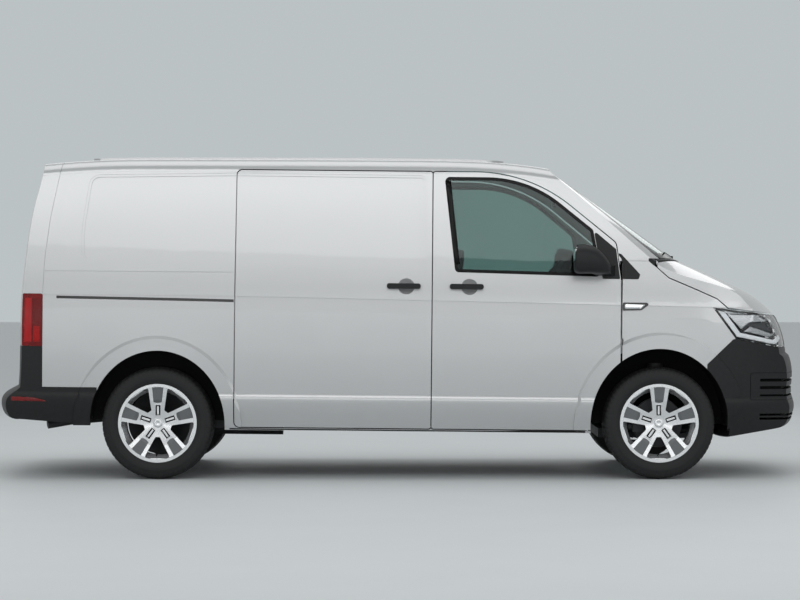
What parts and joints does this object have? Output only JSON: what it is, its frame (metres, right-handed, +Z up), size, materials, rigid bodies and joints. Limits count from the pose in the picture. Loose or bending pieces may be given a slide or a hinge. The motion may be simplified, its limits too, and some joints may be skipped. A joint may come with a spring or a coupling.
{
  "type": "panel van",
  "caption": "Panel van with a glazed cab, hinged cab doors, a fixed sliding side door, bonnet, glazed tailgate, free wheels and steered front wheels.",
  "frame": {"origin": "on the ground, midway between the front and rear ends and on the centre line", "axes": "+X forward, +Y to the left, +Z up"},
  "size_m": [4.9061, 2.2946, 1.9541],
  "materials": {
    "body_paint": "metallic silver, clear coated",
    "black_plastic": "grained",
    "glass": "tinted",
    "lamp_clear": "clear",
    "lamp_red": "moulded",
    "tyre_rubber": "matt",
    "alloy": "painted silver",
    "chassis_steel": "black coated",
    "floor_steel": "painted",
    "engine_metal": "cast",
    "tank_plastic": "moulded",
    "cab_trim": "grained",
    "seat_fabric": "woven"
  },
  "bodies": {
    "body": {"bulkhead": "floor_steel", "bumper_front": "black_plastic", "bumper_rear": "black_plastic", "cowl": "black_plastic", "dashboard": "cab_trim", "engine_block": "engine_metal", "exhaust": "chassis_steel", "floor_pan": "floor_steel", "front_structure": "chassis_steel", "front_subframe": "chassis_steel", "fuel_tank": "tank_plastic", "grille": "black_plastic", "handle_side": "black_plastic", "headlamps": "lamp_clear", "indicators": "lamp_clear", "radiator": "chassis_steel", "rear_axle": "chassis_steel", "roof_panel": "body_paint", "seats": "seat_fabric", "side_frame_left": "body_paint", "side_frame_right": "body_paint", "slide_rail": "black_plastic", "sliding_door": "body_paint", "steering_wheel": "cab_trim", "tail_lamps": "lamp_red", "trim": "black_plastic", "underframe": "chassis_steel", "wheel_liners": "black_plastic", "windscreen": "glass", "wings": "body_paint"},
    "door_right_body": {"door_right": "body_paint", "glass_right": "glass", "mirror_right": "black_plastic", "handle_right": "black_plastic"},
    "door_left_body": {"door_left": "body_paint", "glass_left": "glass", "mirror_left": "black_plastic", "handle_left": "black_plastic"},
    "bonnet_body": {"bonnet": "body_paint"},
    "tailgate_body": {"tailgate": "body_paint", "glass_rear": "glass", "handle_tail": "black_plastic"},
    "knuckle_right_body": {"knuckle_right": "chassis_steel"},
    "knuckle_left_body": {"knuckle_left": "chassis_steel"},
    "wheel_front_right": {"tyre_front_right": "tyre_rubber", "rim_front_right": "alloy"},
    "wheel_front_left": {"tyre_front_left": "tyre_rubber", "rim_front_left": "alloy"},
    "wheel_rear_right": {"tyre_rear_right": "tyre_rubber", "rim_rear_right": "alloy"},
    "wheel_rear_left": {"tyre_rear_left": "tyre_rubber", "rim_rear_left": "alloy"}
  },
  "joints": [
    {"name": "door_right_hinge", "type": "hinge", "parent": "body", "child": "door_right_body", "pos_m": [1.27295, -0.929, 0.74782], "axis": [0.0096, 0, 1], "range_deg": [0, 65]},
    {"name": "door_left_hinge", "type": "hinge", "parent": "body", "child": "door_left_body", "pos_m": [1.27295, 0.929, 0.74782], "axis": [-0.0096, 0, -1], "range_deg": [0, 65]},
    {"name": "bonnet_hinge", "type": "hinge", "parent": "body", "child": "bonnet_body", "pos_m": [1.5263, 0, 1.30441], "axis": [0, -1, 0], "range_deg": [0, 48]},
    {"name": "tailgate_hinge", "type": "hinge", "parent": "body", "child": "tailgate_body", "pos_m": [-2.16588, 0, 1.80987], "axis": [0, 1, 0], "range_deg": [0, 85]},
    {"name": "steer_right", "type": "hinge", "parent": "body", "child": "knuckle_right_body", "pos_m": [1.544, -0.752, 0.335], "axis": [0.0096, 0, 1], "range_deg": [-33, 33]},
    {"name": "steer_left", "type": "hinge", "parent": "body", "child": "knuckle_left_body", "pos_m": [1.544, 0.752, 0.335], "axis": [0.0096, 0, 1], "range_deg": [-33, 33]},
    {"name": "wheel_front_right_spin", "type": "hinge", "parent": "knuckle_right_body", "child": "wheel_front_right", "pos_m": [1.544, -0.814, 0.335], "axis": [0, 1, 0], "continuous": true},
    {"name": "wheel_rear_right_spin", "type": "hinge", "parent": "body", "child": "wheel_rear_right", "pos_m": [-1.456, -0.814, 0.335], "axis": [0, 1, 0], "continuous": true},
    {"name": "wheel_front_left_spin", "type": "hinge", "parent": "knuckle_left_body", "child": "wheel_front_left", "pos_m": [1.544, 0.814, 0.335], "axis": [0, 1, 0], "continuous": true},
    {"name": "wheel_rear_left_spin", "type": "hinge", "parent": "body", "child": "wheel_rear_left", "pos_m": [-1.456, 0.814, 0.335], "axis": [0, 1, 0], "continuous": true}
  ],
  "couplings": [
    {"joint": "steer_left", "follows": "steer_right", "ratio": 1}
  ]
}
